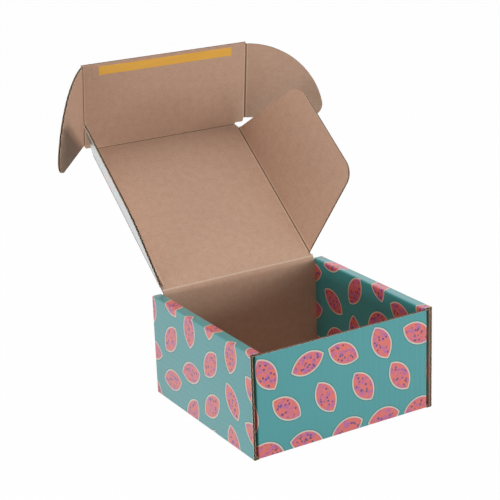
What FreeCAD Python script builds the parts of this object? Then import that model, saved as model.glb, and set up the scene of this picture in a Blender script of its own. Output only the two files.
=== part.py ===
"""Corrugated mailer box with a hinged lid, lid flaps and a self-seal strip, made from one creased blank.

The tray is one folded sheet. Its side walls roll over into inner walls that lock in slots in the bottom,
and its front and back walls have corner flaps that stand inside those double walls. The lid, its side
flaps, the front flap and the two ears fold on creases. Each crease turns about a line in the printed outer
face, and the board on the inner side is crushed away to a groove.

Millimetres. X is across the box, Y runs from the front to the back and Z is up. The origin is the middle
of the underside. Moving panels are drawn where they lie in the closed box, then opened to their rest pose.
"""
import FreeCAD, Part
import math
import os

from FreeCAD import Rotation, Vector

os.makedirs("parts", exist_ok=True)

# Board
board = 2.7
fold_radius = 1.6
layer_gap = 0.1
crease_gap = 0.12

# Tray
box_width = 220.0
box_depth = 202.0
box_height = 113.0
ear_slot = 3.6
corner_flap_length = 82.0
corner_flap_chamfer = 14.0
tab_width = 34.0
tab_spacing = 96.0
tab_clearance = 0.25

# Lid and its side flaps
lid_side_clearance = 1.4
wall_top_clearance = 0.2
lid_corner_relief = 4.0
side_flap_depth = 105.5
side_flap_heel_gap = 8.0
side_flap_toe_gap = 8.0
side_flap_heel_taper = 16.0
side_flap_toe_taper = 13.0
side_flap_corner_radius = 20.0
side_crease_bevel = 57.0

# Front flap and its ears
front_flap_clearance = 0.25
front_flap_height = 101.3
ear_clearance = 0.25
ear_radius = 99.0
ear_tip_radius = 15.0
ear_tip_drop = 5.0
ear_root_drop = 7.9
corner_relief = 3.5
front_crease_bevel = 45.0

# Self-seal strip
strip_length = 172.0
strip_width = 10.0
strip_margin = 3.5
tape_thickness = 0.15
liner_thickness = 0.1

# Angles of the open box
lid_opening = 142.0
front_flap_fold = 58.5
side_flap_fold_right = 70.0
side_flap_fold_left = 64.5
ear_fold_right = 20.0
ear_fold_left = 49.0

# Places that follow from the sizes
half_width = box_width / 2
half_depth = box_depth / 2
slot_inner = half_width - board - ear_slot
corner_flap_inner = slot_inner - board
inner_wall_outer = corner_flap_inner - layer_gap
inner_wall_face = inner_wall_outer - board
rim_underside = box_height - board
front_wall_top = rim_underside - wall_top_clearance
lid_half_width = inner_wall_face - lid_side_clearance
front_flap_face = half_depth + front_flap_clearance
front_pivot_y = -(front_flap_face + board)
lid_length = half_depth - front_pivot_y
ear_half_width = slot_inner + ear_clearance + board


def polygon_face(points):
    """A planar face with straight sides."""
    return Part.Face(Part.makePolygon([Vector(*p) for p in points] + [Vector(*points[0])]))


def rounded_face(points, radii):
    """A planar face whose corners are arcs, each of its own radius, or sharp where the radius is 0."""
    corners = [Vector(*p) for p in points]
    edges = []
    starts = []
    count = len(corners)
    for i, corner in enumerate(corners):
        back = (corners[i - 1] - corner).normalize()
        ahead = (corners[(i + 1) % count] - corner).normalize()
        half_angle = back.getAngle(ahead) / 2
        reach = radii[i] / math.tan(half_angle)
        entry = corner + back * reach
        leave = corner + ahead * reach
        middle = corner
        if radii[i]:
            axis = (back + ahead).normalize()
            middle = corner + axis * (radii[i] / math.sin(half_angle) - radii[i])
        starts.append((entry, middle, leave))
    for i, (entry, middle, leave) in enumerate(starts):
        if radii[i]:
            edges.append(Part.Arc(entry, middle, leave).toShape())
        following = starts[(i + 1) % count][0]
        if leave.distanceToPoint(following) > 1e-6:
            edges.append(Part.LineSegment(leave, following).toShape())
    return Part.Face(Part.Wire(edges))


def box(x0, x1, y0, y1, z0, z1):
    """A box between opposite corners."""
    return Part.makeBox(x1 - x0, y1 - y0, z1 - z0, Vector(x0, y0, z0))


def mirrored(shape):
    """The same shape on the other side of the middle plane."""
    return shape.mirror(Vector(0, 0, 0), Vector(1, 0, 0))


def rolled_side():
    """Right-hand side: a strip of the bottom, the outer wall, the rolled rim and the inner wall."""
    stub = inner_wall_face - board
    outline = [
        (stub, 0, 0),
        (half_width, 0, 0),
        (half_width, 0, box_height),
        (inner_wall_face, 0, box_height),
        (inner_wall_face, 0, board + layer_gap),
        (inner_wall_outer, 0, board + layer_gap),
        (inner_wall_outer, 0, rim_underside),
        (half_width - board, 0, rim_underside),
        (half_width - board, 0, board),
        (stub, 0, board),
    ]
    radii = [0, fold_radius, fold_radius, fold_radius, 0, 0, 0, 0, 0, 0]
    side = rounded_face(outline, radii).extrude(Vector(0, box_depth, 0))
    side.translate(Vector(0, -half_depth, 0))
    for y in (-half_depth, half_depth - fold_radius):
        side = side.cut(box(stub, slot_inner, y, y + fold_radius, 0, fold_radius))
    return side


def bottom_front_and_back():
    """The bottom with the front wall and the back wall, folded up along its ends."""
    outline = [
        (0, -half_depth, 0),
        (0, half_depth, 0),
        (0, half_depth, front_wall_top),
        (0, half_depth - board, front_wall_top),
        (0, half_depth - board, board),
        (0, board - half_depth, board),
        (0, board - half_depth, front_wall_top),
        (0, -half_depth, front_wall_top),
    ]
    radii = [fold_radius, fold_radius, 0, 0, 0, 0, 0, 0]
    sheet = rounded_face(outline, radii).extrude(Vector(2 * slot_inner, 0, 0))
    sheet.translate(Vector(-slot_inner, 0, 0))
    for side in (-1, 1):
        for end in (-1, 1):
            sheet = sheet.cut(upright_corner_waste(side, end))
    return sheet


def upright_corner_waste(side, end):
    """What a rounded upright fold leaves off the square corner of a wall."""
    x = side * slot_inner
    y = end * half_depth
    square = rounded_face(
        [
            (x, y, board),
            (x - side * fold_radius, y, board),
            (x - side * fold_radius, y - end * fold_radius, board),
            (x, y - end * fold_radius, board),
        ],
        [0, 0, 0, 0],
    ).extrude(Vector(0, 0, box_height))
    centre = Vector(x - side * fold_radius, y - end * fold_radius, board)
    return square.cut(Part.makeCylinder(fold_radius, box_height, centre))


def corner_flap(end):
    """Right-hand corner flap of the front wall (end -1) or the back wall (end 1), inside the double wall."""
    root = end * (half_depth - fold_radius)
    tip = end * (half_depth - corner_flap_length)
    low = board + layer_gap
    slope = end * corner_flap_chamfer
    outline = [
        (corner_flap_inner, root, low),
        (corner_flap_inner, root, front_wall_top),
        (corner_flap_inner, tip + slope, front_wall_top),
        (corner_flap_inner, tip, front_wall_top - corner_flap_chamfer),
        (corner_flap_inner, tip, low + corner_flap_chamfer),
        (corner_flap_inner, tip + slope, low),
    ]
    return polygon_face(outline).extrude(Vector(board, 0, 0))


def hinge_strip():
    """Top of the back wall between the rolled rims, crushed to a bevel along the lid crease."""
    low = front_wall_top - board
    outline = [
        (0, half_depth, low),
        (0, half_depth, box_height - crease_gap),
        (0, half_depth - board, box_height - crease_gap - board),
        (0, half_depth - board, low),
    ]
    strip = polygon_face(outline).extrude(Vector(2 * lid_half_width, 0, 0))
    strip.translate(Vector(-lid_half_width, 0, 0))
    return strip


def tab_positions():
    """Middle of each locking tab along the side."""
    return [-tab_spacing / 2, tab_spacing / 2]


def locking_tab(y):
    """Tab of the right-hand inner wall, through the bottom."""
    return box(
        inner_wall_face,
        inner_wall_outer,
        y - tab_width / 2,
        y + tab_width / 2,
        layer_gap,
        board + 2 * layer_gap,
    )


def tab_slot(y):
    """Slot in the bottom for a locking tab."""
    return box(
        inner_wall_face - tab_clearance,
        inner_wall_outer + tab_clearance,
        y - tab_width / 2 - tab_clearance,
        y + tab_width / 2 + tab_clearance,
        -board,
        board + layer_gap / 2,
    )


def folded_tray():
    """The whole tray as one folded sheet."""
    right = rolled_side().fuse([corner_flap(-1), corner_flap(1)])
    tray = bottom_front_and_back().fuse([right, mirrored(right), hinge_strip()])
    for y in tab_positions():
        tray = tray.cut([tab_slot(y), mirrored(tab_slot(y))])
    for y in tab_positions():
        tray = tray.fuse([locking_tab(y), mirrored(locking_tab(y))])
    return tray.removeSplitter()


def bevel_cut(outer, along, inward, down, angle, length):
    """Wedge that a crease leaves off a panel's edge.

    outer is a point on the edge line in the outer face, along the direction of the edge, inward the
    direction into the panel and down the direction from the outer face to the inner one.
    """
    deep = board * 1.5
    reach = deep * math.tan(math.radians(angle))
    start = outer - along * length + inward * crease_gap
    wedge = Part.Face(
        Part.makePolygon(
            [
                start - down * deep,
                start,
                start + down * deep + inward * reach,
                start + down * deep - inward * deep,
                start - down * deep - inward * deep,
                start - down * deep,
            ]
        )
    )
    return wedge.extrude(along * (2 * length))


def lid_panel():
    """Lid, closed: flush with the rims and resting on the front wall."""
    x = lid_half_width
    back = half_depth
    front = front_pivot_y
    relief = lid_corner_relief
    outline = [
        (-x, back, box_height),
        (-x, front + relief, box_height),
        (relief - x, front, box_height),
        (x - relief, front, box_height),
        (x, front + relief, box_height),
        (x, back, box_height),
    ]
    panel = polygon_face(outline).extrude(Vector(0, 0, -board))
    down = Vector(0, 0, -1)
    across = Vector(1, 0, 0)
    length = Vector(0, 1, 0)
    cuts = [
        bevel_cut(Vector(0, back, box_height), across, Vector(0, -1, 0), down, 45.0, box_width),
        bevel_cut(Vector(0, front, box_height), across, Vector(0, 1, 0), down, front_crease_bevel, box_width),
        bevel_cut(Vector(x, 0, box_height), length, Vector(-1, 0, 0), down, side_crease_bevel, box_depth),
        bevel_cut(Vector(-x, 0, box_height), length, Vector(1, 0, 0), down, side_crease_bevel, box_depth),
    ]
    return panel.cut(cuts)


def lid_side_flap():
    """Right-hand side flap of the lid, flat in the lid's plane."""
    x = lid_half_width
    heel = half_depth - side_flap_heel_gap
    toe = front_pivot_y + side_flap_toe_gap
    heel_rake = side_flap_depth * math.tan(math.radians(side_flap_heel_taper))
    toe_rake = side_flap_depth * math.tan(math.radians(side_flap_toe_taper))
    outline = [
        (x, heel, box_height),
        (x, toe, box_height),
        (x + side_flap_depth, toe + toe_rake, box_height),
        (x + side_flap_depth, heel - heel_rake, box_height),
    ]
    radii = [0, 0, side_flap_corner_radius, side_flap_corner_radius]
    flap = rounded_face(outline, radii).extrude(Vector(0, 0, -board))
    edge = Vector(x, 0, box_height)
    length = Vector(0, 1, 0)
    return flap.cut(bevel_cut(edge, length, Vector(1, 0, 0), Vector(0, 0, -1), side_crease_bevel, box_depth))


def front_flap():
    """Front flap, closed: hanging outside the front wall."""
    x = ear_half_width
    top = box_height
    low = box_height - front_flap_height
    crease_end = lid_half_width - lid_corner_relief
    outline = [
        (-x, front_pivot_y, low),
        (x, front_pivot_y, low),
        (x, front_pivot_y, top - ear_root_drop),
        (x - corner_relief, front_pivot_y, top - corner_relief),
        (crease_end, front_pivot_y, top - corner_relief),
        (crease_end, front_pivot_y, top),
        (-crease_end, front_pivot_y, top),
        (-crease_end, front_pivot_y, top - corner_relief),
        (corner_relief - x, front_pivot_y, top - corner_relief),
        (-x, front_pivot_y, top - ear_root_drop),
    ]
    flap = polygon_face(outline).extrude(Vector(0, board, 0))
    inward = Vector(0, 1, 0)
    up = Vector(0, 0, 1)
    across = Vector(1, 0, 0)
    cuts = [
        bevel_cut(Vector(0, front_pivot_y, top), across, -up, inward, front_crease_bevel, box_width),
        bevel_cut(Vector(x, front_pivot_y, 0), up, -across, inward, front_crease_bevel, box_height),
        bevel_cut(Vector(-x, front_pivot_y, 0), up, across, inward, front_crease_bevel, box_height),
    ]
    return flap.cut(cuts)


def ear():
    """Right-hand ear, closed: in its slot, with an outer edge that swings about the front flap's crease."""
    x = ear_half_width
    centre = Vector(x, front_pivot_y, box_height)
    top = box_height - ear_tip_drop
    root = box_height - ear_root_drop
    reach = math.sqrt(ear_radius**2 - ear_tip_drop**2)
    foot = box_height - ear_radius
    tip = front_pivot_y + reach
    disc = Part.makeCylinder(ear_radius, board, centre, Vector(-1, 0, 0))
    window = polygon_face(
        [
            (x, front_pivot_y, root),
            (x, tip, top),
            (x, tip + board, top),
            (x, tip + board, foot - board),
            (x, front_pivot_y, foot - board),
        ]
    ).extrude(Vector(-board, 0, 0))
    blank = disc.common(window)
    tips = [
        e
        for e in blank.Edges
        if abs(e.Length - board) < 1e-3
        and e.CenterOfMass.y > tip - 1
        and abs(e.CenterOfMass.z - top) < 1
    ]
    blank = blank.makeFillet(ear_tip_radius, tips)
    edge = Vector(x, front_pivot_y, 0)
    return blank.cut(
        bevel_cut(edge, Vector(0, 0, 1), Vector(0, 1, 0), Vector(-1, 0, 0), front_crease_bevel, box_height)
    )


def seal_layer(thickness, offset):
    """A band of the self-seal strip on the inner face of the closed front flap."""
    low = box_height - front_flap_height + strip_margin
    face = front_pivot_y + board + offset
    return box(-strip_length / 2, strip_length / 2, face, face + thickness, low, low + strip_width)


def turned(shape, point, axis, angle):
    """The shape turned about a line, by degrees."""
    copy = shape.copy()
    copy.rotate(point, axis, angle)
    return copy


hinge_point = Vector(0, half_depth, box_height)
hinge_axis = Vector(-1, 0, 0)


def with_lid(shape):
    """Carries something from the closed lid to the open one."""
    return turned(shape, hinge_point, hinge_axis, lid_opening)


def with_front_flap(shape):
    """Carries something from the closed front flap to its place on the open lid."""
    crease = Vector(0, front_pivot_y, box_height)
    return with_lid(turned(shape, crease, hinge_axis, 90 - front_flap_fold))


def on_side(shape, side):
    """The right-hand shape, or its mirror image on the left."""
    return shape if side > 0 else mirrored(shape)


def side_flap_in_place(side, fold):
    """A side flap, folded down from the lid's plane and then opened with the lid."""
    flap = on_side(lid_side_flap(), side)
    edge = Vector(side * lid_half_width, 0, box_height)
    return with_lid(turned(flap, edge, Vector(0, side, 0), fold))


def ear_in_place(side, fold):
    """An ear, opened from its square fold and then carried by the front flap."""
    edge = Vector(side * ear_half_width, front_pivot_y, box_height)
    return with_front_flap(turned(on_side(ear(), side), edge, Vector(0, 0, side), fold - 90))


def build():
    """Every piece of the open box, by name."""
    return {
        "folded_tray": folded_tray(),
        "lid_panel": with_lid(lid_panel()),
        "lid_side_flap_right": side_flap_in_place(1, side_flap_fold_right),
        "lid_side_flap_left": side_flap_in_place(-1, side_flap_fold_left),
        "front_flap": with_front_flap(front_flap()),
        "ear_flap_right": ear_in_place(1, ear_fold_right),
        "ear_flap_left": ear_in_place(-1, ear_fold_left),
        "seal_tape": with_front_flap(seal_layer(tape_thickness, 0)),
        "release_liner": with_front_flap(seal_layer(liner_thickness, tape_thickness)),
    }


for name, shape in build().items():
    shape.exportStep("parts/" + name + ".step")
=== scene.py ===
import math

import bmesh
import bpy
from mathutils import Matrix, Vector


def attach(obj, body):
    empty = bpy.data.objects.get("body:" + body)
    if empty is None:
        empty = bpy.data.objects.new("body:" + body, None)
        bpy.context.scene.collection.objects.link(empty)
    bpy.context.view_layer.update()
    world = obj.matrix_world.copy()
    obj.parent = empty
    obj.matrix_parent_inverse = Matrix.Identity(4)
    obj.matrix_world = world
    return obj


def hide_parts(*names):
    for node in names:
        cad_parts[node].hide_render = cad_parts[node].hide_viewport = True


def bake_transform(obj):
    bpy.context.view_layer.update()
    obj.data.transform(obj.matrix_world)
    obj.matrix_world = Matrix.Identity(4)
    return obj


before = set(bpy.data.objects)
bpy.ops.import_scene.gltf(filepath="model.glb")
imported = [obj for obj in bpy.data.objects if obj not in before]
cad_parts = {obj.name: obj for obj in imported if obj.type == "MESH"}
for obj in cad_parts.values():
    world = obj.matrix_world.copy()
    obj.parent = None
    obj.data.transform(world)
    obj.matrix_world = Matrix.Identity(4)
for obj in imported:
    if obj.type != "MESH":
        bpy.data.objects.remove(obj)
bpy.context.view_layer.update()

# The corrugated board. All sizes are in millimetres.
BOARD = 2.7
LINER = 0.35
MEDIUM = 0.25
FLUTE_PITCH = 6.5
FLUTE_STEPS = 8

# The tray, closed.
WIDTH = 220.0
DEPTH = 202.0
HEIGHT = 113.0
EAR_SLOT = 3.6
LAYER_GAP = 0.1
LID_SIDE_CLEARANCE = 1.4
WALL_TOP_CLEARANCE = 0.2
CORNER_FLAP = 82.0
FOLD_RADIUS = 1.6
FOLD_STEPS = 5

# The lid and its flaps.
LID_RELIEF = 4.0
SIDE_FLAP_DEPTH = 105.5
SIDE_FLAP_GAP = 8.0
SIDE_FLAP_ROUND = 20.0
CORNER_STEPS = 10
FRONT_CLEARANCE = 0.25
FRONT_FLAP_HEIGHT = 101.3
CORNER_RELIEF = 3.5
EAR_CLEARANCE = 0.25
EAR_RADIUS = 99.0
EAR_STEPS = 144
EAR_ROOT_DROP = 7.9
EAR_TIP_DROP = 5.0
EAR_TIP_ROUND = 15.0
TIP_STEPS = 10

# The crushed creases: how the shoulders are rounded, and how the liner runs from one to the other.
SHOULDER_ROUNDING = 1.5
SHOULDER_STEPS = 3
CREASE_PRESS = 1.1
CREASE_STRETCH = 0.4
CREASE_OVERLAP = 1.2
CREASE_PROUD = 0.04
CREASE_GAP = 0.12

# The print: ovals in staggered rows, each moved and turned a little by chance.
MOTIF_COLUMN = 46.0
MOTIF_ROW = 42.0
MOTIF_LENGTH = 41.0
MOTIF_WIDTH = 24.0
MOTIF_DRIFT = 2.0
INK_SOFT = 0.25
SPOT_SPACING = 4.2
SPOT_MARGIN = 3.0
WASH_SIZE = 6.2
VARNISH_GRAIN = 1.1

# A spot's radius and soft edge, as shares of the pattern's spacing, and how far on in the patterns of spots
# and blots each next cell looks.
SPOT_RADIUS = 0.3
SPOT_SOFT = 0.06
CELL_JUMP = (17.3, 31.7, 0.0)

# The papers: the size of the clouds, fibres and flecks in kraft, and of the release paper's streaks.
CLOUD_SIZE = 8.3
FIBRE_WIDTH = 0.7
FIBRE_LENGTH = 2.9
FLECK_SIZE = 1.8
STREAK_LENGTH = 33.0
STREAK_WIDTH = 2.5

# How deep the flutes show through each liner.
KRAFT_WASHBOARD = 0.03
PRINT_WASHBOARD = 0.035
STREAK_DEPTH = 0.03

# Angles in degrees: how far each crease bends in the photograph, the tapers of the side flaps and the slants
# of the creases' shoulders. Where the sides differ, 1 is right and -1 is left.
LID_OPENING = 142.0
FRONT_FLAP_FOLD = 58.5
SIDE_FOLD = {1: 70.0, -1: 64.5}
EAR_FOLD = {1: 20.0, -1: 49.0}
HEEL_TAPER = 16.0
TOE_TAPER = 13.0
HINGE_BEVEL = 45.0
SIDE_BEVEL = 57.0

# Edges that bend by fewer degrees than this are shaded smooth.
SMOOTH_BELOW = 35.0

# How much of a face's normal lies along the board's thickness: more than FLAT on a panel's flat faces, more
# than SLANTED on a crease's shoulder too, and more than FLUTE_FACE on the flutes but not on their cut ends.
FLAT = 0.95
SLANTED = 0.3
FLUTE_FACE = 0.7

# Tolerances for cutting and for finding edges.
CUT_TOLERANCE = 1e-5
CORNER_TOLERANCE = 0.05
EDGE_TOLERANCE = 1e-4

# The UV map holds the blank's coordinates, in units of this many millimetres.
BLANK_UNIT = 100.0

MM = 0.001
X, Y, Z = Vector((1, 0, 0)), Vector((0, 1, 0)), Vector((0, 0, 1))
SIDES = ((1, "right"), (-1, "left"))
# The board's finishes. The raw medium's brown is darkened as painted shade, and the last two are a painted
# highlight and painted crease shade.
PRINT, KRAFT, RAW_IN_PAINTED_SHADE, WHITE_EDGE, PAINTED_HIGHLIGHT, PAINTED_CREASE_SHADE = range(6)

# Places in the closed box.
half_width = WIDTH / 2
half_depth = DEPTH / 2
slot_inner = half_width - BOARD - EAR_SLOT
inner_face = slot_inner - 2 * BOARD - LAYER_GAP
rim_width = half_width - inner_face
rim_under = HEIGHT - BOARD
wall_top = rim_under - WALL_TOP_CLEARANCE
wall_half = slot_inner - BOARD
lid_half = inner_face - LID_SIDE_CLEARANCE
front_crease_y = -(half_depth + FRONT_CLEARANCE + BOARD)
ear_half = slot_inner + EAR_CLEARANCE + BOARD
tab_half = lid_half - LID_RELIEF

# Places in the unfolded blank, where v runs along the flutes and u across them. It lies with its print below,
# so the bottom's right side has a negative u.
hinge_v = half_depth + HEIGHT
front_crease_v = hinge_v + half_depth - front_crease_y
notch_v = front_crease_v + CORNER_RELIEF
ear_root_v = front_crease_v + EAR_ROOT_DROP


# Folding


def panel_frame(point, blank, u_axis, v_axis):
    """Where a panel's blank coordinates go: point is where blank (u, v) lies, in the closed box."""
    u_axis = Vector(u_axis)
    v_axis = Vector(v_axis)
    turn = Matrix((u_axis, v_axis, u_axis.cross(v_axis))).transposed().to_4x4()
    return Matrix.Translation(Vector(point)) @ turn @ Matrix.Translation(Vector((-blank[0], -blank[1], 0)))


def fold_about(point, axis, degrees):
    """A turn about a line through point."""
    shift = Matrix.Translation(Vector(point))
    return shift @ Matrix.Rotation(math.radians(degrees), 4, Vector(axis)) @ shift.inverted()


lid_open = fold_about((0, half_depth, HEIGHT), -X, LID_OPENING)
front_open = lid_open @ fold_about((0, front_crease_y, HEIGHT), -X, 90 - FRONT_FLAP_FOLD)
closed_lid = panel_frame((0, half_depth, HEIGHT), (0, hinge_v), -X, -Y)

bottom_frame = panel_frame((0, 0, 0), (0, 0), -X, Y)
front_wall_frame = panel_frame((0, -half_depth, 0), (0, -half_depth), -X, -Z)
back_wall_frame = panel_frame((0, half_depth, 0), (0, half_depth), -X, Z)
lid_frame = lid_open @ closed_lid
front_flap_frame = front_open @ panel_frame((0, front_crease_y, HEIGHT), (0, front_crease_v), -X, -Z)


# Board


def cut(bm, point, normal, fill=True):
    """Cuts off what lies beyond a plane, and closes the cut."""
    result = bmesh.ops.bisect_plane(
        bm,
        geom=bm.verts[:] + bm.edges[:] + bm.faces[:],
        dist=CUT_TOLERANCE,
        plane_co=point,
        plane_no=normal,
        clear_outer=True,
    )
    if fill:
        edges = [g for g in result["geom_cut"] if isinstance(g, bmesh.types.BMEdge)]
        if edges:
            bmesh.ops.edgenet_fill(bm, edges=edges)


def crease_cut(bm, point, outward, bevel, gap=CREASE_GAP):
    """Slants a panel's edge at a crease, where the inner side is crushed away."""
    angle = math.radians(bevel)
    normal = Vector((*outward, 0)).normalized() * math.cos(angle) - Z * math.sin(angle)
    cut(bm, Vector((*point, 0)) - normal * gap / 2, normal)


def block(u0, u1, v0, v1, cuts=(), creases=(), rounds=()):
    """A panel's solid form, with the print's side at the top. cuts are (point, outward direction) lines,
    creases are (point, outward direction, bevel) lines and rounds are (corner, radius)."""
    bm = bmesh.new()
    bmesh.ops.create_cube(bm, size=1)
    bmesh.ops.scale(bm, vec=(u1 - u0, v1 - v0, BOARD), verts=bm.verts)
    bmesh.ops.translate(bm, vec=((u0 + u1) / 2, (v0 + v1) / 2, -BOARD / 2), verts=bm.verts)
    for point, outward in cuts:
        cut(bm, Vector((*point, 0)), Vector((*outward, 0)).normalized())
    for corner, radius in rounds:
        edges = [
            e
            for e in bm.edges
            if abs((e.verts[0].co - e.verts[1].co).z) > BOARD / 2
            and (e.verts[0].co.xy - Vector(corner)).length < CORNER_TOLERANCE
        ]
        half = edges[0].calc_face_angle() / 2
        bmesh.ops.bevel(
            bm,
            geom=edges,
            offset=radius * math.tan(half),
            offset_type="OFFSET",
            affect="EDGES",
            segments=CORNER_STEPS,
            profile=0.5,
            material=-1,
        )
    for crease in creases:
        crease_cut(bm, *crease)
    bmesh.ops.recalc_face_normals(bm, faces=bm.faces)
    return bm


def join_into(panel, bm):
    """Adds a finished layer to the panel that it belongs to."""
    mesh = bpy.data.meshes.new("layer")
    bm.to_mesh(mesh)
    bm.free()
    panel.from_mesh(mesh)
    bpy.data.meshes.remove(mesh)


def finish_layer(bm, panel, frame_matrix, pick):
    """Gives a layer its materials and blank coordinates, folds it into place and adds it to the panel."""
    layer = bm.loops.layers.uv.verify()
    for face in bm.faces:
        face.material_index = pick(face)
        for loop in face.loops:
            loop[layer].uv = loop.vert.co.xy / BLANK_UNIT
    bmesh.ops.transform(bm, matrix=Matrix.Scale(MM, 4) @ frame_matrix, verts=bm.verts)
    join_into(panel, bm)


def flat_sheet(bm, wanted):
    """Keeps the wanted faces of a block and thickens them inwards into a liner."""
    unwanted = [f for f in bm.faces if not wanted(f)]
    bmesh.ops.delete(bm, geom=unwanted, context="FACES")
    bmesh.ops.solidify(bm, geom=bm.faces[:], thickness=LINER)
    bmesh.ops.recalc_face_normals(bm, faces=bm.faces)


def round_shoulders(solid):
    """Rounds a block's crease edges on the kraft side. Gives the planes that the medium stays inside, as
    (point, normal, inset)."""
    limits = [
        (f.calc_center_median(), f.normal.copy(), LINER if f.normal.z < -SLANTED else 0)
        for f in solid.faces
        if abs(f.normal.z) < FLAT
    ]
    shoulders = [
        e
        for e in solid.edges
        if len(e.link_faces) == 2
        and min(f.normal.z for f in e.link_faces) < -FLAT
        and -FLAT < max(f.normal.z for f in e.link_faces) < -SLANTED
    ]
    for edge in shoulders:
        normal = (edge.link_faces[0].normal + edge.link_faces[1].normal).normalized()
        half = edge.calc_face_angle() / 2
        rounded_off = SHOULDER_ROUNDING / math.tan(half) * (1 / math.cos(half) - 1)
        middle = (edge.verts[0].co + edge.verts[1].co) / 2
        limits.append((middle, normal, rounded_off + LINER))
    if shoulders:
        bmesh.ops.bevel(
            solid,
            geom=shoulders,
            offset=SHOULDER_ROUNDING,
            affect="EDGES",
            segments=SHOULDER_STEPS,
            profile=0.5,
            material=-1,
        )
    bmesh.ops.recalc_face_normals(solid, faces=solid.faces)
    return limits


def extrude_row(bm, edges, shift):
    """Draws a row of edges out into faces. Gives the new row's corners and edges."""
    drawn = bmesh.ops.extrude_edge_only(bm, edges=edges)["geom"]
    corners = [g for g in drawn if isinstance(g, bmesh.types.BMVert)]
    edges = [g for g in drawn if isinstance(g, bmesh.types.BMEdge) and all(v in corners for v in g.verts)]
    bmesh.ops.translate(bm, vec=shift, verts=corners)
    return corners, edges


def fluted_medium(solid, limits):
    """The wavy paper between the liners. It is in step over the whole blank."""
    us = [v.co.x for v in solid.verts]
    vs = [v.co.y for v in solid.verts]
    step = FLUTE_PITCH / FLUTE_STEPS
    first = math.floor(min(us) / step) - 1
    last = math.ceil(max(us) / step) + 1
    medium = bmesh.new()
    start = medium.verts.new((first * step, min(vs) - 1, 0))
    end = medium.verts.new((first * step, max(vs) + 1, 0))
    edges = [medium.edges.new((start, end))]
    for _ in range(last - first):
        _, edges = extrude_row(medium, edges, X * step)
    swing = (BOARD - 2 * LINER - MEDIUM) / 2
    for vert in medium.verts:
        vert.co.z = -BOARD / 2 + swing * math.sin(2 * math.pi * vert.co.x / FLUTE_PITCH)
    for point, normal, inset in limits:
        cut(medium, point - normal * inset, normal, fill=False)
    if medium.faces:
        bmesh.ops.solidify(medium, geom=medium.faces[:], thickness=MEDIUM)
        bmesh.ops.recalc_face_normals(medium, faces=medium.faces)
    return medium


def corrugated(panel, solid, frame_matrix):
    """Builds a panel as what it is: a printed liner, a fluted medium and a kraft liner, which wraps over the
    crushed creases."""
    limits = round_shoulders(solid)

    outer = solid.copy()
    flat_sheet(outer, lambda f: f.normal.z > FLAT)
    finish_layer(
        outer,
        panel,
        frame_matrix,
        lambda f: PRINT if f.normal.z > FLAT else RAW_IN_PAINTED_SHADE if f.normal.z < -FLAT else WHITE_EDGE,
    )

    # The cut ends of the flutes get a painted highlight, and the flutes' faces in the hollows between them
    # get the raw brown darkened as painted shade.
    medium = fluted_medium(solid, limits)
    finish_layer(medium, panel, frame_matrix, lambda f: RAW_IN_PAINTED_SHADE if abs(f.normal.z) > FLUTE_FACE else PAINTED_HIGHLIGHT)

    flat_sheet(solid, lambda f: f.normal.z < -SLANTED)
    finish_layer(solid, panel, frame_matrix, lambda f: RAW_IN_PAINTED_SHADE if f.normal.z > SLANTED else KRAFT)


def folded_edge(panel, corner, out_a, out_b, along, length, blank):
    """A rounded fold between two panels: corner is the sharp outer corner at one end, out_a and out_b point
    out of the two outer faces, and blank gives a point's place in the blank."""
    out_a, out_b, along = Vector(out_a), Vector(out_b), Vector(along)
    bm = bmesh.new()
    bmesh.ops.create_cube(bm, size=1)
    bmesh.ops.translate(bm, vec=(-0.5, -0.5, 0.5), verts=bm.verts)
    bmesh.ops.scale(bm, vec=(BOARD, BOARD, length), verts=bm.verts)
    edges = [e for e in bm.edges if all(v.co.xy.length < EDGE_TOLERANCE for v in e.verts)]
    bmesh.ops.bevel(
        bm, geom=edges, offset=FOLD_RADIUS, affect="EDGES", segments=FOLD_STEPS, profile=0.5, material=-1
    )
    bmesh.ops.recalc_face_normals(bm, faces=bm.faces)
    turn = Matrix((out_a, out_b, along)).transposed().to_4x4()
    bmesh.ops.transform(bm, matrix=Matrix.Translation(Vector(corner)) @ turn, verts=bm.verts)
    if turn.determinant() < 0:
        bmesh.ops.reverse_faces(bm, faces=bm.faces)
    layer = bm.loops.layers.uv.verify()
    for face in bm.faces:
        cut_end = abs(face.normal.dot(along)) > FLAT
        outside = max(face.normal.dot(out_a), face.normal.dot(out_b)) > SLANTED
        # A cut end takes the raw medium's brown, darkened as painted shade.
        face.material_index = RAW_IN_PAINTED_SHADE if cut_end else PRINT if outside else KRAFT
        for loop in face.loops:
            loop[layer].uv = Vector(blank(*loop.vert.co)) / BLANK_UNIT
    bmesh.ops.scale(bm, vec=(MM, MM, MM), verts=bm.verts)
    join_into(panel, bm)


def board_object(name, panel):
    """Makes a finished panel an object of board."""
    mesh = bpy.data.meshes.new(name)
    panel.to_mesh(mesh)
    panel.free()
    for material in board_materials:
        mesh.materials.append(material)
    mesh.shade_smooth()
    mesh.set_sharp_from_angle(angle=math.radians(SMOOTH_BELOW))
    obj = bpy.data.objects.new(name, mesh)
    bpy.context.scene.collection.objects.link(obj)
    return obj


def piece(name, panel, body, node):
    """A finished panel, in place of its plain solid."""
    obj = board_object(name, panel)
    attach(obj, body)
    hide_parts(node)


# The liner in the creases


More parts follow.
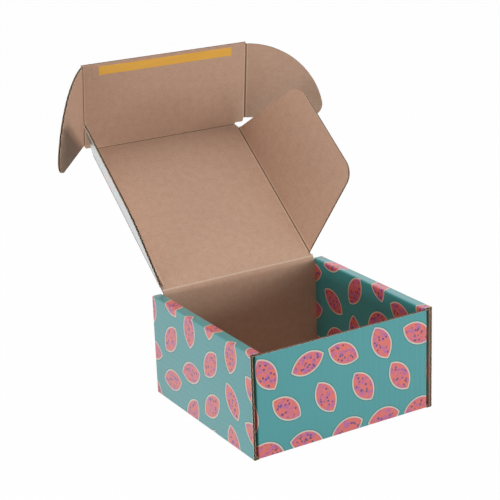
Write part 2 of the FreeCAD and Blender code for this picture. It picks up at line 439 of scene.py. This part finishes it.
def crease_rows(frames, line, across, bevel, rise):
    """The rows of the kraft liner across a crease: how far each lies from the crease in the blank, and where
    it goes. The liner spans from shoulder to shoulder, pressed in or stretched out by rise."""
    reach = BOARD * math.tan(math.radians(bevel))
    lap = reach + CREASE_OVERLAP
    proud = Z * (-BOARD - CREASE_PROUD)
    hinge = frames[0] @ line
    first_lap = frames[0] @ (line - across * lap + proud)
    first_shoulder = frames[0] @ (line - across * reach + proud)
    second_shoulder = frames[1] @ (line + across * reach + proud)
    second_lap = frames[1] @ (line + across * lap + proud)
    chord = (first_shoulder + second_shoulder) / 2 - hinge
    middle = hinge + chord.normalized() * (chord.length + rise)
    return [
        (-lap, first_lap),
        (-reach, first_shoulder),
        (-reach / 2, first_shoulder.lerp(middle, 0.5)),
        (0, middle),
        (reach / 2, second_shoulder.lerp(middle, 0.5)),
        (reach, second_shoulder),
        (lap, second_lap),
    ]


def liner_sheet(name, frame_matrix, line, across, ends, rows, finishes):
    """A strip of kraft liner along a crease, drawn out row by row in the blank and then laid in place."""
    along = Vector((abs(across.y), abs(across.x), 0))
    bm = bmesh.new()
    corners = [bm.verts.new(line + along * end + across * rows[0][0]) for end in ends]
    edges = [bm.edges.new(corners)]
    drawn = [corners]
    for (before, _), (after, _) in zip(rows, rows[1:]):
        corners, edges = extrude_row(bm, edges, across * (after - before))
        drawn.append(corners)
    layer = bm.loops.layers.uv.verify()
    for face, finish in zip(bm.faces, finishes):
        face.material_index = finish
        for loop in face.loops:
            loop[layer].uv = loop.vert.co.xy / BLANK_UNIT
    for corners, (place, target) in zip(drawn, rows):
        shift = target - frame_matrix @ (line + across * place)
        bmesh.ops.transform(bm, matrix=Matrix.Translation(shift) @ frame_matrix, verts=corners)
    bmesh.ops.solidify(bm, geom=bm.faces[:], thickness=MEDIUM / 2)
    bmesh.ops.recalc_face_normals(bm, faces=bm.faces)
    bmesh.ops.scale(bm, vec=(MM, MM, MM), verts=bm.verts)
    return board_object(name, bm)


def pressed_crease(name, bodies, frames, line, across, ends, bevel):
    """The liner pressed into a fold by the creasing rule, in two halves that move with their own panels."""
    line, across = Vector((*line, 0)), Vector((*across, 0))
    rows = crease_rows(frames, line, across, bevel, -CREASE_PRESS)
    middle = rows[3][1]
    for half, body, word in zip((rows[:3], rows[:3:-1]), bodies, ("near", "far")):
        edge = middle + (half[-1][1] - middle).normalized() * CREASE_GAP
        # Each half runs from plain kraft to a painted highlight on its shoulder and painted shade in the
        # groove.
        strip = liner_sheet(
            name + "_" + word,
            frames[0],
            line,
            across,
            ends,
            [*half, (0, edge)],
            (KRAFT, PAINTED_HIGHLIGHT, PAINTED_CREASE_SHADE),
        )
        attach(strip, body)


# Materials


def colour(code):
    """sRGB hex to linear."""
    channels = [int(code[i : i + 2], 16) / 255 for i in (1, 3, 5)]
    linear = [c / 12.92 if c <= 0.04045 else ((c + 0.055) / 1.055) ** 2.4 for c in channels]
    return (*linear, 1)


def add(tree, kind, inputs=None, **settings):
    """Adds a node with its settings, and its inputs as values or links. Gives its first output in use."""
    node = tree.nodes.new(kind)
    for key, value in settings.items():
        setattr(node, key, value)
    for key, value in (inputs or {}).items():
        if isinstance(value, bpy.types.NodeSocket):
            tree.links.new(value, node.inputs[key])
        else:
            node.inputs[key].default_value = value
    return next((output for output in node.outputs if output.enabled), None)


def new_material(name):
    material = bpy.data.materials.new(name)
    material.use_nodes = True
    material.node_tree.nodes.clear()
    return material, material.node_tree


def finish_material(tree, **inputs):
    """Gives a material its surface. Underscores stand for the spaces in the inputs' names."""
    surface = {key.replace("_", " "): value for key, value in inputs.items()}
    shader = add(tree, "ShaderNodeBsdfPrincipled", surface)
    add(tree, "ShaderNodeOutputMaterial", {"Surface": shader})


def blank_place(tree):
    """The place in the blank in millimetres, and its u and v."""
    uv = add(tree, "ShaderNodeUVMap")
    place = add(tree, "ShaderNodeVectorMath", {0: uv, "Scale": BLANK_UNIT}, operation="SCALE")
    parts = add(tree, "ShaderNodeSeparateXYZ", {0: place}).node
    return place, parts.outputs[0], parts.outputs[1]


def washboard(tree, u, depth, grain):
    """The bump of the flutes that show faintly through a liner, with the paper's own grain on it."""
    phase = add(tree, "ShaderNodeMath", {0: u, 1: 2 * math.pi / FLUTE_PITCH}, operation="MULTIPLY")
    wave = add(tree, "ShaderNodeMath", {0: phase}, operation="SINE")
    height = add(tree, "ShaderNodeMath", {0: grain, 1: 0.5, 2: wave}, operation="MULTIPLY_ADD")
    return add(tree, "ShaderNodeBump", {"Strength": 1.0, "Distance": depth * MM, "Height": height})


def make_kraft(name, light, dark, fleck, flute_depth=0.0):
    """Unbleached kraft paper, pressed and dried on steel rolls. It gives the eye a matt warm brown with soft
    clouds, fine fibres along the sheet and a few darker flecks."""
    material, tree = new_material(name)
    place, u, _ = blank_place(tree)
    clouds = add(
        tree,
        "ShaderNodeTexNoise",
        {"Vector": place, "Scale": 1 / CLOUD_SIZE, "Detail": 5.0, "Roughness": 0.6},
    )
    stretched = add(
        tree, "ShaderNodeMapping", {"Vector": place, "Scale": (1 / FIBRE_WIDTH, 1 / FIBRE_LENGTH, 1.0)}
    )
    fibres = add(
        tree, "ShaderNodeTexNoise", {"Vector": stretched, "Scale": 1.0, "Detail": 6.0, "Roughness": 0.7}
    )
    fibre_part = add(tree, "ShaderNodeMath", {0: fibres, 1: 0.75}, operation="MULTIPLY")
    mottle = add(tree, "ShaderNodeMath", {0: clouds, 1: 0.25, 2: fibre_part}, operation="MULTIPLY_ADD")
    mottle = add(tree, "ShaderNodeMapRange", {"Value": mottle, "From Min": 0.36, "From Max": 0.62})
    paper = add(tree, "ShaderNodeMix", {0: mottle, 6: colour(dark), 7: colour(light)}, data_type="RGBA")
    flecks = add(tree, "ShaderNodeTexNoise", {"Vector": place, "Scale": 1 / FLECK_SIZE, "Detail": 2.0})
    flecks = add(
        tree, "ShaderNodeMapRange", {"Value": flecks, "From Min": 0.66, "From Max": 0.74, "To Max": 0.5}
    )
    paper = add(tree, "ShaderNodeMix", {0: flecks, 6: paper, 7: colour(fleck)}, data_type="RGBA")
    bump = washboard(tree, u, flute_depth, fibres)
    finish_material(tree, Base_Color=paper, Roughness=0.88, Normal=bump)
    return material


def motif_place(tree, u, v):
    """The staggered cell that a place lies in, and its place from the cell's own turned middle."""
    row = add(tree, "ShaderNodeMath", {0: v, 1: MOTIF_ROW}, operation="DIVIDE")
    row = add(tree, "ShaderNodeMath", {0: row}, operation="FLOOR")
    shifted = add(tree, "ShaderNodeMath", {0: row, 1: MOTIF_COLUMN / 2, 2: u}, operation="MULTIPLY_ADD")
    column = add(tree, "ShaderNodeMath", {0: shifted, 1: MOTIF_COLUMN}, operation="DIVIDE")
    column = add(tree, "ShaderNodeMath", {0: column}, operation="FLOOR")
    cell = add(tree, "ShaderNodeCombineXYZ", {0: column, 1: row})
    chance = add(tree, "ShaderNodeTexWhiteNoise", {"Vector": cell}, noise_dimensions="3D")

    spread = 2 * MOTIF_DRIFT
    middle_u = add(
        tree, "ShaderNodeMath", {0: column, 1: MOTIF_COLUMN, 2: MOTIF_COLUMN / 2}, operation="MULTIPLY_ADD"
    )
    middle_v = add(
        tree, "ShaderNodeMath", {0: row, 1: MOTIF_ROW, 2: MOTIF_ROW / 2}, operation="MULTIPLY_ADD"
    )
    drift = add(
        tree, "ShaderNodeMath", {0: chance, 1: spread, 2: -spread / 2}, operation="MULTIPLY_ADD"
    )
    from_u = add(tree, "ShaderNodeMath", {0: shifted, 1: middle_u}, operation="SUBTRACT")
    from_u = add(tree, "ShaderNodeMath", {0: from_u, 1: drift}, operation="ADD")
    from_v = add(tree, "ShaderNodeMath", {0: v, 1: middle_v}, operation="SUBTRACT")
    local = add(tree, "ShaderNodeCombineXYZ", {0: from_u, 1: from_v})
    angle = add(tree, "ShaderNodeMath", {0: chance, 1: math.pi}, operation="MULTIPLY")
    turned = add(tree, "ShaderNodeVectorRotate", {"Vector": local, "Angle": angle}, rotation_type="Z_AXIS")
    return cell, turned


def oval_distance(tree, place):
    """How far a place lies outside the motif's outline, which is where two round discs overlap."""
    radius = (MOTIF_LENGTH**2 + MOTIF_WIDTH**2) / (4 * MOTIF_WIDTH)
    parts = add(tree, "ShaderNodeSeparateXYZ", {0: place}).node
    across = add(tree, "ShaderNodeMath", {0: parts.outputs[1]}, operation="ABSOLUTE")
    across = add(tree, "ShaderNodeMath", {0: across, 1: radius - MOTIF_WIDTH / 2}, operation="ADD")
    from_centre = add(tree, "ShaderNodeCombineXYZ", {0: parts.outputs[0], 1: across})
    reach = add(tree, "ShaderNodeVectorMath", {0: from_centre}, operation="LENGTH")
    return add(tree, "ShaderNodeMath", {0: reach, 1: radius}, operation="SUBTRACT")


def make_print():
    """Lithographed white-top liner with a gloss varnish. It gives the eye flat inks that mirror the lamps
    softly, with the flutes showing through. The motif is a plain pointed oval with a pale rim and dark
    spots."""
    material, tree = new_material("varnished_litho_print")
    place, u, v = blank_place(tree)
    cell, local = motif_place(tree, u, v)
    outside = oval_distance(tree, local)

    far = add(tree, "ShaderNodeVectorMath", {0: cell, 1: CELL_JUMP, 2: local}, operation="MULTIPLY_ADD")
    blots = add(tree, "ShaderNodeTexNoise", {"Vector": far, "Scale": 1 / WASH_SIZE, "Detail": 2.0})
    blots = add(tree, "ShaderNodeMapRange", {"Value": blots, "From Min": 0.46, "From Max": 0.64})
    filling = add(
        tree, "ShaderNodeMix", {0: blots, 6: colour("#E86C5E"), 7: colour("#BC5FA4")}, data_type="RGBA"
    )

    # From the ground inwards: where each next ink starts, how soft its edge is, and its colour.
    ink = colour("#349B9E")
    bands = (
        (0.9, 0.3, colour("#256F76")),
        (0.0, INK_SOFT, colour("#B4DCC4")),
        (-0.7, 0.3, colour("#F0D9C4")),
        (-1.4, 0.5, filling),
    )
    for limit, soft, shade in bands:
        cover = add(
            tree,
            "ShaderNodeMapRange",
            {"Value": outside, "From Min": limit + soft, "From Max": limit - soft},
        )
        ink = add(tree, "ShaderNodeMix", {0: cover, 6: ink, 7: shade}, data_type="RGBA")

    spots = add(tree, "ShaderNodeTexVoronoi", {"Vector": far, "Scale": 1 / SPOT_SPACING, "Randomness": 1.0})
    spots = add(
        tree,
        "ShaderNodeMapRange",
        {"Value": spots, "From Min": SPOT_RADIUS + SPOT_SOFT, "From Max": SPOT_RADIUS - SPOT_SOFT},
    )
    within = add(
        tree,
        "ShaderNodeMapRange",
        {"Value": outside, "From Min": INK_SOFT - SPOT_MARGIN, "From Max": -INK_SOFT - SPOT_MARGIN},
    )
    spots = add(tree, "ShaderNodeMath", {0: spots, 1: within}, operation="MULTIPLY")
    ink = add(tree, "ShaderNodeMix", {0: spots, 6: ink, 7: colour("#4B2B74")}, data_type="RGBA")

    grain = add(tree, "ShaderNodeTexNoise", {"Vector": place, "Scale": 1 / VARNISH_GRAIN, "Detail": 3.0})
    bump = washboard(tree, u, PRINT_WASHBOARD, grain)
    finish_material(
        tree,
        Base_Color=ink,
        Roughness=0.38,
        Coat_Weight=0.85,
        Coat_Roughness=0.2,
        Normal=bump,
        Coat_Normal=bump,
    )
    return material


def make_cut_edge():
    """Bleached paper, cut by the die. It gives the eye a thin pale line beside the print."""
    material, tree = new_material("bleached_paper_cut_edge")
    finish_material(tree, Base_Color=colour("#E8DFD0"), Roughness=0.9)
    return material


def make_tape():
    """Acrylic adhesive tape, cast clear. It gives the eye a smooth cream edge under the release paper."""
    material, tree = new_material("acrylic_adhesive_tape")
    finish_material(tree, Base_Color=colour("#E3D3A8"), Roughness=0.35)
    return material


def make_release_liner():
    """Dyed paper with a silicone coating. It gives the eye a satin amber with faint streaks along it."""
    material, tree = new_material("silicone_release_paper")
    place = tree.nodes.new("ShaderNodeTexCoord").outputs["Object"]
    length, width = STREAK_LENGTH * MM, STREAK_WIDTH * MM
    stretched = add(
        tree, "ShaderNodeMapping", {"Vector": place, "Scale": (1 / length, 1 / width, 1 / width)}
    )
    streaks = add(tree, "ShaderNodeTexNoise", {"Vector": stretched, "Scale": 1.0, "Detail": 3.0})
    tint = add(
        tree, "ShaderNodeMix", {0: streaks, 6: colour("#E6A31F"), 7: colour("#F4BC3C")}, data_type="RGBA"
    )
    bump = add(tree, "ShaderNodeBump", {"Distance": STREAK_DEPTH * MM, "Height": streaks})
    finish_material(tree, Base_Color=tint, Roughness=0.38, Coat_Weight=0.2, Coat_Roughness=0.2, Normal=bump)
    return material


# The raw medium's brown is darkened as painted shade for its hollows. At a crease the liner has a painted
# highlight on the ridges and painted shade in the groove.
board_materials = [
    make_print(),
    make_kraft("kraft_liner_paper", "#CEAB93", "#BC967F", "#97715B", KRAFT_WASHBOARD),
    make_kraft("fluting_paper_painted_hollow_shade", "#7F6045", "#634831", "#4A3522"),
    make_cut_edge(),
    make_kraft("kraft_painted_highlight", "#DEC3AB", "#CFB198", "#B59378"),
    make_kraft("kraft_liner_painted_crease_shade", "#9E7B62", "#8A6750", "#72533F"),
]


# Tray


def build_low_panels(tray):
    """The bottom, in strips between the side walls' slots, and the front and back walls."""
    low_v = half_depth - BOARD
    corrugated(tray, block(-slot_inner, slot_inner, -low_v, low_v), bottom_frame)
    for side, _ in SIDES:
        ends = sorted((-side * slot_inner, -side * (half_width - BOARD)))
        corrugated(tray, block(*ends, -half_depth, half_depth), bottom_frame)

    front_wall = block(-wall_half, wall_half, -half_depth - wall_top, -half_depth - BOARD)
    corrugated(tray, front_wall, front_wall_frame)
    strip_v = half_depth + wall_top - BOARD
    back_wall = block(-wall_half, wall_half, half_depth + BOARD, strip_v)
    corrugated(tray, back_wall, back_wall_frame)
    for side, _ in SIDES:
        ends = sorted((-side * lid_half, -side * wall_half))
        corrugated(tray, block(*ends, strip_v, half_depth + wall_top), back_wall_frame)
    crease = ((0, hinge_v), (0, 1), HINGE_BEVEL)
    hinge_strip = block(-lid_half, lid_half, strip_v, hinge_v, creases=[crease])
    corrugated(tray, hinge_strip, back_wall_frame)
    for end in (-1, 1):
        folded_edge(
            tray,
            (-slot_inner, end * half_depth, 0),
            end * Y,
            -Z,
            X,
            2 * slot_inner,
            lambda x, y, z: (-x, y + end * z),
        )


def build_double_wall(tray, side):
    """A side's outer wall, rim and inner wall, one after the other along the blank, with their folds."""
    wall_u = -side * half_width
    rim_u = -side * (half_width + HEIGHT)
    inner_u = -side * (half_width + HEIGHT + rim_width)
    outer_frame = panel_frame((side * half_width, 0, 0), (wall_u, 0), -side * Z, Y)
    rim_frame = panel_frame((side * half_width, 0, HEIGHT), (rim_u, 0), X, Y)
    inner_frame = panel_frame((side * inner_face, 0, HEIGHT), (inner_u, 0), side * Z, Y)
    ends = sorted((wall_u - side * BOARD, wall_u - side * rim_under))
    corrugated(tray, block(*ends, -half_depth, half_depth), outer_frame)
    ends = sorted((rim_u - side * BOARD, rim_u - side * (rim_width - BOARD)))
    corrugated(tray, block(*ends, -half_depth, half_depth), rim_frame)
    ends = sorted((inner_u - side * BOARD, inner_u - side * (rim_under - LAYER_GAP)))
    corrugated(tray, block(*ends, BOARD - half_depth, half_depth - BOARD), inner_frame)

    folded_edge(
        tray,
        (side * half_width, -half_depth, HEIGHT),
        side * X,
        Z,
        Y,
        DEPTH,
        lambda x, y, z: (x - side * (z + WIDTH), y),
    )
    folded_edge(
        tray,
        (side * inner_face, -half_depth, HEIGHT),
        -side * X,
        Z,
        Y,
        DEPTH,
        lambda x, y, z: (x + side * (z - WIDTH - 2 * HEIGHT), y),
    )
    folded_edge(
        tray,
        (side * half_width, -half_depth, 0),
        side * X,
        -Z,
        Y,
        DEPTH,
        lambda x, y, z: (-x - side * z, y),
    )


def build_corner_flap(tray, side, end):
    """A corner flap stands inside the double wall, and shows only through the slot."""
    corner = (side * slot_inner, end * half_depth, 0)
    flap_frame = panel_frame(corner, (-side * slot_inner, end * half_depth), side * end * Y, end * Z)
    ends = sorted((-side * (slot_inner + BOARD), -side * (slot_inner + CORNER_FLAP)))
    tops = sorted((end * (half_depth + wall_top), end * (half_depth + BOARD + LAYER_GAP)))
    corrugated(tray, block(*ends, *tops), flap_frame)
    folded_edge(
        tray,
        (side * slot_inner, end * half_depth, BOARD),
        side * X,
        end * Y,
        Z,
        wall_top - BOARD,
        lambda x, y, z: (-x + side * end * (y - end * half_depth), end * (half_depth + z)),
    )


tray = bmesh.new()
build_low_panels(tray)
for side, _ in SIDES:
    build_double_wall(tray, side)
    for end in (-1, 1):
        build_corner_flap(tray, side, end)
piece("corrugated_tray", tray, "tray", "folded_tray")


# Lid

corner_u = lid_half - LID_RELIEF / 2
corner_v = front_crease_v - LID_RELIEF / 2
lid_block = block(
    -lid_half,
    lid_half,
    hinge_v,
    front_crease_v,
    cuts=[((corner_u, corner_v), (1, 1)), ((-corner_u, corner_v), (-1, 1))],
    creases=[
        ((0, hinge_v), (0, -1), HINGE_BEVEL),
        ((0, front_crease_v), (0, 1), HINGE_BEVEL),
        ((lid_half, 0), (1, 0), SIDE_BEVEL),
        ((-lid_half, 0), (-1, 0), SIDE_BEVEL),
    ],
)
lid = bmesh.new()
corrugated(lid, lid_block, lid_frame)
piece("corrugated_lid", lid, "lid", "lid_panel")

# The liner over the opened hinge is stretched smooth.
hinge_line = Vector((0, hinge_v, 0))
hinge_rows = crease_rows((back_wall_frame, lid_frame), hinge_line, Y, HINGE_BEVEL, CREASE_STRETCH)
# The row beside the lid's shoulder has a painted highlight.
hinge_finishes = (KRAFT, KRAFT, KRAFT, KRAFT, PAINTED_HIGHLIGHT, KRAFT)
hinge_liner = liner_sheet(
    "hinge_crease_liner", back_wall_frame, hinge_line, Y, (-lid_half, lid_half), hinge_rows, hinge_finishes
)
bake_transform(hinge_liner)


def build_side_flap(side, word):
    """A side flap tapers from its crease on the lid to two rounded corners."""
    near, far = -side * lid_half, -side * (lid_half + SIDE_FLAP_DEPTH)
    heel = hinge_v + SIDE_FLAP_GAP
    toe = front_crease_v - SIDE_FLAP_GAP
    heel_slope = math.tan(math.radians(HEEL_TAPER))
    toe_slope = math.tan(math.radians(TOE_TAPER))
    flap_block = block(
        *sorted((near, far)),
        heel,
        toe,
        cuts=[((near, heel), (-side * heel_slope, -1)), ((near, toe), (-side * toe_slope, 1))],
        rounds=[
            ((far, heel + SIDE_FLAP_DEPTH * heel_slope), SIDE_FLAP_ROUND),
            ((far, toe - SIDE_FLAP_DEPTH * toe_slope), SIDE_FLAP_ROUND),
        ],
        creases=[((near, 0), (side, 0), SIDE_BEVEL)],
    )
    crease = (side * lid_half, 0, HEIGHT)
    flap_frame = lid_open @ fold_about(crease, side * Y, SIDE_FOLD[side]) @ closed_lid
    flap = bmesh.new()
    corrugated(flap, flap_block, flap_frame)
    piece("corrugated_side_flap_" + word, flap, "side_flap_" + word, "lid_side_flap_" + word)
    pressed_crease(
        "side_crease_liner_" + word,
        ("lid", "side_flap_" + word),
        (lid_frame, flap_frame),
        (near, 0),
        (-side, 0),
        (heel, toe),
        SIDE_BEVEL,
    )


for side, word in SIDES:
    build_side_flap(side, word)


# Front flap and ears

front_flap = bmesh.new()
crease = ((0, front_crease_v), (0, -1), HINGE_BEVEL)
tab = block(-tab_half, tab_half, front_crease_v, notch_v, creases=[crease])
corrugated(front_flap, tab, front_flap_frame)
notch_rise = EAR_ROOT_DROP - CORNER_RELIEF
main = block(
    -ear_half,
    ear_half,
    notch_v,
    front_crease_v + FRONT_FLAP_HEIGHT,
    cuts=[
        ((ear_half, ear_root_v), (notch_rise, -CORNER_RELIEF)),
        ((-ear_half, ear_root_v), (-notch_rise, -CORNER_RELIEF)),
    ],
    creases=[((ear_half, 0), (1, 0), HINGE_BEVEL), ((-ear_half, 0), (-1, 0), HINGE_BEVEL)],
)
corrugated(front_flap, main, front_flap_frame)
piece("corrugated_front_flap", front_flap, "front_closure", "front_flap")
pressed_crease(
    "front_crease_liner",
    ("lid", "front_closure"),
    (lid_frame, front_flap_frame),
    (0, front_crease_v),
    (0, 1),
    (-tab_half, tab_half),
    HINGE_BEVEL,
)


def ear_block(side):
    """An ear's solid form: a quarter disc about the top of its crease, with a slanted lower edge that meets
    the round one in a rounded tip."""
    root_u = -side * ear_half
    centre = Vector((root_u, front_crease_v, 0))
    bm = bmesh.new()
    bmesh.ops.create_cone(
        bm, cap_ends=True, segments=EAR_STEPS, radius1=EAR_RADIUS, radius2=EAR_RADIUS, depth=BOARD
    )
    bmesh.ops.translate(bm, vec=centre - Z * BOARD / 2, verts=bm.verts)
    reach = math.sqrt(EAR_RADIUS**2 - EAR_TIP_DROP**2)
    root = Vector((root_u, ear_root_v, 0))
    tip = centre + Vector((-side * reach, EAR_TIP_DROP, 0))
    lower = (tip - root).normalized()
    below = Vector((-lower.y, lower.x, 0)) * side
    cut(bm, root, below)
    cut(bm, centre, side * X)

    # The tip's corner is rounded by planes that touch a circle inside both edges.
    start = root - centre - below * EAR_TIP_ROUND
    back = start.dot(lower)
    run = math.sqrt(back**2 - start.length_squared + (EAR_RADIUS - EAR_TIP_ROUND) ** 2) - back
    tip_centre = centre + start + lower * run
    outer = (tip_centre - centre).normalized()
    for step in range(TIP_STEPS + 1):
        normal = below.slerp(outer, step / TIP_STEPS).normalized()
        cut(bm, tip_centre + normal * EAR_TIP_ROUND, normal)
    crease_cut(bm, centre.xy, (side, 0), HINGE_BEVEL, gap=0)
    bmesh.ops.recalc_face_normals(bm, faces=bm.faces)
    return bm


def build_ear(side, word):
    """An ear at one end of the front flap."""
    root_u = -side * ear_half
    turn = fold_about((side * ear_half, front_crease_y, 0), side * Z, EAR_FOLD[side] - 90)
    square = panel_frame((side * ear_half, front_crease_y, HEIGHT), (root_u, front_crease_v), -side * Y, -Z)
    ear_frame = front_open @ turn @ square
    ear = bmesh.new()
    corrugated(ear, ear_block(side), ear_frame)
    piece("corrugated_ear_" + word, ear, word + "_ear", "ear_flap_" + word)
    pressed_crease(
        "ear_crease_liner_" + word,
        ("front_closure", word + "_ear"),
        (front_flap_frame, ear_frame),
        (root_u, 0),
        (-side, 0),
        (ear_root_v, front_crease_v + EAR_RADIUS),
        HINGE_BEVEL,
    )


for side, word in SIDES:
    build_ear(side, word)


# Self-seal strip

for node, material in (("seal_tape", make_tape()), ("release_liner", make_release_liner())):
    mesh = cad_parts[node].data
    mesh.materials.clear()
    mesh.materials.append(material)


# Floor and light, in metres and watts

# The floor is plain white to the camera but for a small share, which shows the box's faint shadow.
FLOOR_WHITE = 0.985
FLOOR_SIZE = 6.0
AMBIENT = 0.13


def seen_directly(tree):
    """1 for what the camera sees, straight or mirrored, and 0 for light that falls on the box."""
    rays = tree.nodes.new("ShaderNodeLightPath").outputs
    return add(
        tree, "ShaderNodeMath", {0: rays["Is Camera Ray"], 1: rays["Is Glossy Ray"]}, operation="MAXIMUM"
    )


def make_floor_paper():
    """Matt paper sweep, overexposed. It gives the eye plain white with the faintest of shadows."""
    material, tree = new_material("white_paper_sweep")
    matte = add(tree, "ShaderNodeBsdfDiffuse", {"Color": (0.8, 0.8, 0.8, 1)})
    glow = add(tree, "ShaderNodeEmission", {"Color": (1, 1, 1, 1), "Strength": 1.0})
    share = add(tree, "ShaderNodeMath", {0: seen_directly(tree), 1: FLOOR_WHITE}, operation="MULTIPLY")
    surface = add(tree, "ShaderNodeMixShader", {0: share, 1: matte, 2: glow})
    add(tree, "ShaderNodeOutputMaterial", {"Surface": surface})
    return material


def softbox(name, place, aim, width, height, power):
    """An oblong studio lamp that faces a point."""
    data = bpy.data.lights.new(name, "AREA")
    data.shape = "RECTANGLE"
    data.size = width
    data.size_y = height
    data.energy = power
    lamp = bpy.data.objects.new(name, data)
    bpy.context.scene.collection.objects.link(lamp)
    lamp.location = place
    lamp.rotation_euler = (Vector(aim) - Vector(place)).to_track_quat("-Z", "Y").to_euler()


sweep = bmesh.new()
bmesh.ops.create_grid(sweep, x_segments=1, y_segments=1, size=FLOOR_SIZE)
floor_mesh = bpy.data.meshes.new("floor")
sweep.to_mesh(floor_mesh)
sweep.free()
floor_mesh.materials.append(make_floor_paper())
floor = bpy.data.objects.new("floor", floor_mesh)
bpy.context.scene.collection.objects.link(floor)

world = bpy.data.worlds.new("studio")
bpy.context.scene.world = world
world.use_nodes = True
world.node_tree.nodes.clear()
dim = add(world.node_tree, "ShaderNodeBackground", {"Color": (1, 1, 1, 1), "Strength": AMBIENT})
white = add(world.node_tree, "ShaderNodeBackground", {"Color": (1, 1, 1, 1), "Strength": 1.0})
sky = add(world.node_tree, "ShaderNodeMixShader", {0: seen_directly(world.node_tree), 1: dim, 2: white})
add(world.node_tree, "ShaderNodeOutputWorld", {"Surface": sky})

softbox("overhead", (-0.2, 0.35, 2.0), (0, 0.1, 0.1), 1.4, 1.0, 22)
softbox("front", (0.9, -2.0, 0.35), (0, 0, 0.2), 1.5, 0.5, 16.5)
softbox("left", (-2.0, -0.5, 0.16), (0, 0, 0.1), 1.4, 0.3, 15)
softbox("right", (1.9, -0.8, 0.4), (0, 0.2, 0.25), 0.8, 0.5, 8)


# Camera, as fitted to the photograph, with its target and distance in metres

IMAGE_PIXELS = 500
FOCAL_PIXELS = 1450.7
SENSOR = 36.0
VIEW_AZIMUTH = math.radians(-30.573)
VIEW_ELEVATION = math.radians(18.56)
VIEW_ROLL = math.radians(-2.127)
VIEW_TARGET = Vector((-0.0459, 0.0, 0.17903))
VIEW_DISTANCE = 1.48304

level = Matrix.Rotation(VIEW_AZIMUTH, 3, "Z") @ Matrix.Rotation(math.pi / 2 - VIEW_ELEVATION, 3, "X")
turn = level @ Matrix.Rotation(VIEW_ROLL, 3, "Z")
camera_data = bpy.data.cameras.new("camera")
camera_data.sensor_width = SENSOR
camera_data.lens = FOCAL_PIXELS / IMAGE_PIXELS * SENSOR
camera = bpy.data.objects.new("camera", camera_data)
bpy.context.scene.collection.objects.link(camera)
camera.matrix_world = Matrix.Translation(VIEW_TARGET + turn @ Z * VIEW_DISTANCE) @ turn.to_4x4()
bpy.context.scene.camera = camera
bpy.context.scene.view_settings.view_transform = "Standard"
